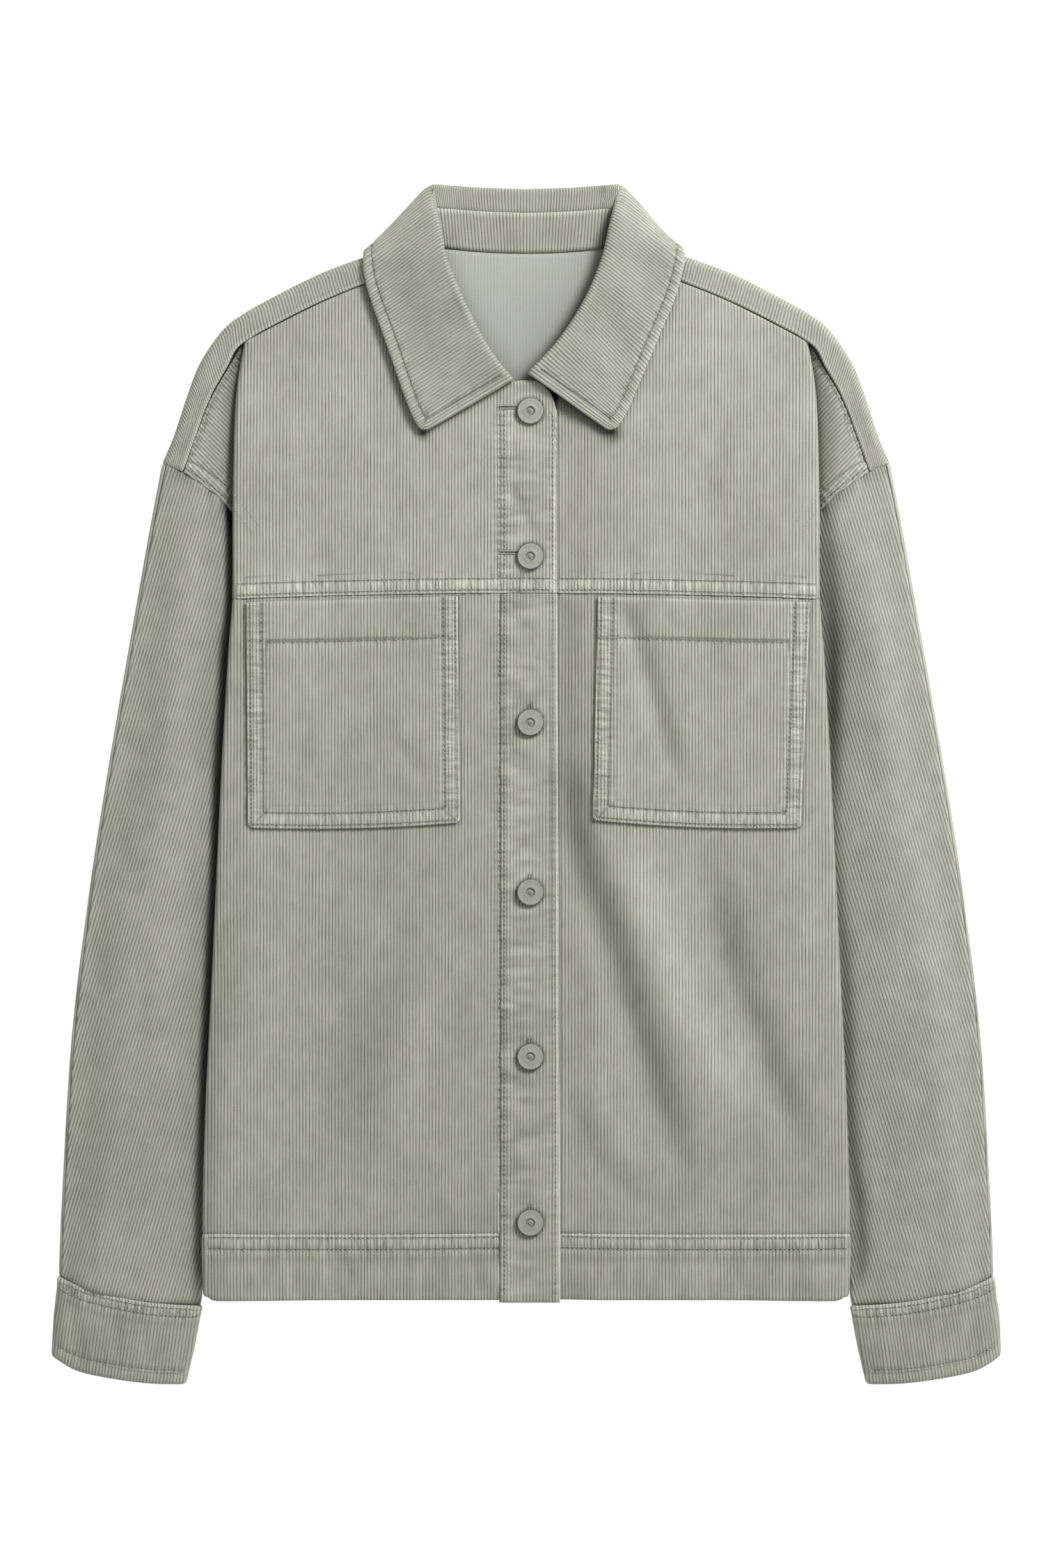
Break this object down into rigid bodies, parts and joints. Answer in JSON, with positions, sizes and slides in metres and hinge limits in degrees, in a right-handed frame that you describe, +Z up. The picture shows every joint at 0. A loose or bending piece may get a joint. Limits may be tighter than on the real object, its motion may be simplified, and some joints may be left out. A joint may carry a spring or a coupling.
{
  "type": "corduroy jacket",
  "caption": "Buttoned corduroy overshirt jacket laid flat on its back, with a shirt collar, drop shoulders, yokes, patch chest pockets, cuffs and a hem band",
  "frame": {"origin": "on the surface it lies on, under the middle of the garment", "axes": "+X to the viewer's right across the garment, +Y toward the collar, +Z up from the surface, out of the front"},
  "size_m": [0.6192, 0.781, 0.0165],
  "materials": {
    "corduroy": "sage grey fine-wale corduroy with a soft nap",
    "band": "doubled sage grey corduroy, a little darker",
    "button": "matt enamel, sage grey"
  },
  "bodies": {
    "root": {"back_panel": "corduroy", "front_yoke_left": "corduroy", "front_yoke_right": "corduroy", "lower_front_left": "corduroy", "lower_front_right": "corduroy", "hem_band_left": "band", "hem_band_right": "band", "hem_band_back": "band", "pocket_left": "corduroy", "pocket_right": "corduroy", "top_sleeve_left": "corduroy", "top_sleeve_right": "corduroy", "under_sleeve_left": "corduroy", "under_sleeve_right": "corduroy", "cuff_left": "band", "cuff_right": "band", "collar_stand": "corduroy", "collar_leaf": "corduroy", "button_1": "button", "button_2": "button", "button_3": "button", "button_4": "button", "button_5": "button", "button_6": "button"}
  },
  "joints": []
}
